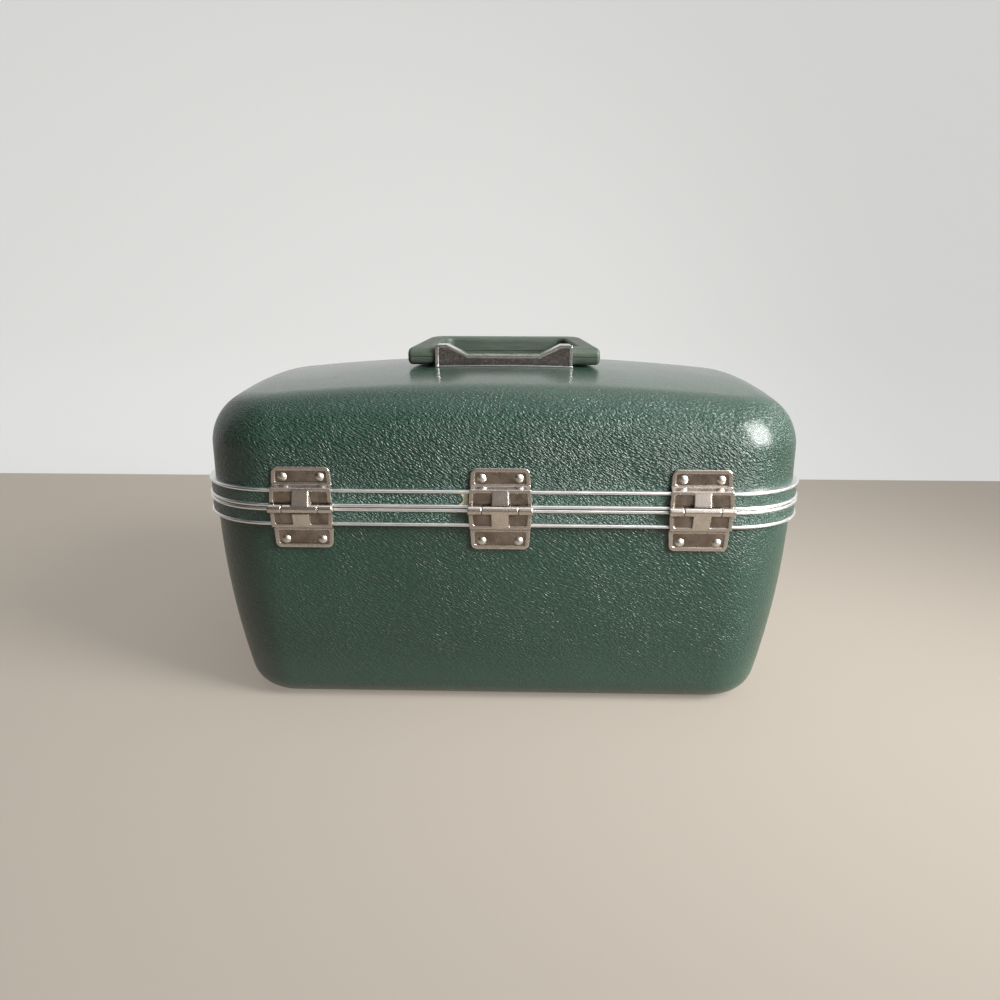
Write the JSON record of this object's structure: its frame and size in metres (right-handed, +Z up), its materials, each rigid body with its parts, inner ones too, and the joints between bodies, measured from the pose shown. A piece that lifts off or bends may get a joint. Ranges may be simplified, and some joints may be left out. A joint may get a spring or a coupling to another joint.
{
  "type": "cosmetic train case",
  "caption": "Rounded rectangular travel case for cosmetics with a hinged crowned lid, metal rims, folding top handle, front hasp locks, mirror and lift-out tray.",
  "frame": {"origin": "centre of the flat bottom that the case rests on", "axes": "+X along the case's width, -Y towards the rear hinges, +Y towards the front locks, +Z up"},
  "size_m": [0.356, 0.25, 0.2151],
  "materials": {
    "shell_green": "leather-grained deep green vinyl face on moulded plastic",
    "rim_aluminium": "polished beads with fine drawing lines",
    "strip_green": "grained vinyl strip",
    "plug_cream": "cream plug at the strip's joint",
    "lining_fabric": "pale sage lining",
    "hinge_nickel": "aged satin nickel plate",
    "pin_steel": "bright steel",
    "rivet_nickel": "aged nickel plate",
    "bracket_chrome": "bright plated casting",
    "plate_steel": "zinc-plated steel",
    "handle_green": "glossy green moulding",
    "lock_chrome": "plated die casting",
    "key_brass": "satin brass",
    "mirror_glass": "silvered glass",
    "mirror_frame_green": "pale green moulding",
    "pad_foam": "soft foam rubber",
    "tray_green": "pale green moulding"
  },
  "bodies": {
    "base": {"base_shell": "shell_green", "base_frame": "rim_aluminium", "base_inlay": "strip_green", "base_lining": "lining_fabric", "tray_ledges": "tray_green", "hinge_leaf_base_left": "hinge_nickel", "hinge_leaf_base_middle": "hinge_nickel", "hinge_leaf_base_right": "hinge_nickel", "hinge_pin_left": "pin_steel", "hinge_pin_middle": "pin_steel", "hinge_pin_right": "pin_steel", "hinge_rivets_base": "rivet_nickel", "lock_case_left": "lock_chrome", "lock_case_right": "lock_chrome", "latch_spring_left": "plate_steel", "latch_spring_right": "plate_steel", "lock_rivets": "rivet_nickel"},
    "lid": {"lid_shell": "shell_green", "lid_frame": "rim_aluminium", "lid_inlay": "strip_green", "inlay_joint_plug": "plug_cream", "lid_lining": "lining_fabric", "mirror": "mirror_glass", "mirror_frame": "mirror_frame_green", "mirror_pad": "pad_foam", "hinge_leaf_lid_left": "hinge_nickel", "hinge_leaf_lid_middle": "hinge_nickel", "hinge_leaf_lid_right": "hinge_nickel", "hinge_rivets_lid": "rivet_nickel", "handle_bracket": "bracket_chrome", "bracket_backing_plate": "plate_steel", "bracket_rivets": "rivet_nickel", "handle_pins": "pin_steel", "hasp_plate_left": "hinge_nickel", "hasp_plate_right": "hinge_nickel", "hasp_pin_left": "pin_steel", "hasp_pin_right": "pin_steel", "hasp_rivets": "rivet_nickel"},
    "handle": {"handle_grip_upper": "handle_green", "handle_grip_lower": "handle_green", "handle_core": "plate_steel"},
    "hasp_left": {"hasp_left": "hinge_nickel"},
    "hasp_right": {"hasp_right": "hinge_nickel"},
    "lock_button_left": {"lock_button_left": "lock_chrome"},
    "lock_button_right": {"lock_button_right": "lock_chrome"},
    "key_barrel_left": {"key_barrel_left": "key_brass"},
    "key_barrel_right": {"key_barrel_right": "key_brass"},
    "tray": {"tray": "tray_green"}
  },
  "joints": [
    {"name": "lid_hinge", "type": "hinge", "parent": "base", "child": "lid", "pos_m": [0, -0.1206, 0.1295], "axis": [1, 0, 0], "range_deg": [0, 95]},
    {"name": "handle_fold", "type": "hinge", "parent": "lid", "child": "handle", "pos_m": [0, -0.028, 0.2061], "axis": [1, 0, 0], "range_deg": [0, 90]},
    {"name": "hasp_swing_left", "type": "hinge", "parent": "lid", "child": "hasp_left", "pos_m": [-0.105, 0.12215, 0.137], "axis": [1, 0, 0], "range_deg": [0, 100]},
    {"name": "hasp_swing_right", "type": "hinge", "parent": "lid", "child": "hasp_right", "pos_m": [0.105, 0.12215, 0.137], "axis": [1, 0, 0], "range_deg": [0, 100]},
    {"name": "latch_slide_left", "type": "slide", "parent": "base", "child": "lock_button_left", "axis": [-1, 0, 0], "range_m": [0, 0.005], "stiffness_N_per_m": 300, "springref_m": -0.001, "deforming": ["latch_spring_left"]},
    {"name": "latch_slide_right", "type": "slide", "parent": "base", "child": "lock_button_right", "axis": [1, 0, 0], "range_m": [0, 0.005], "stiffness_N_per_m": 300, "springref_m": -0.001, "deforming": ["latch_spring_right"]},
    {"name": "key_turn_left", "type": "hinge", "parent": "base", "child": "key_barrel_left", "pos_m": [-0.085, 0.122, 0.1195], "axis": [0, 1, 0], "range_deg": [0, 90]},
    {"name": "key_turn_right", "type": "hinge", "parent": "base", "child": "key_barrel_right", "pos_m": [0.085, 0.122, 0.1195], "axis": [0, 1, 0], "range_deg": [0, 90]},
    {"name": "tray_lift", "type": "slide", "parent": "base", "child": "tray", "axis": [0, 0, 1], "range_m": [0, 0.03]}
  ]
}
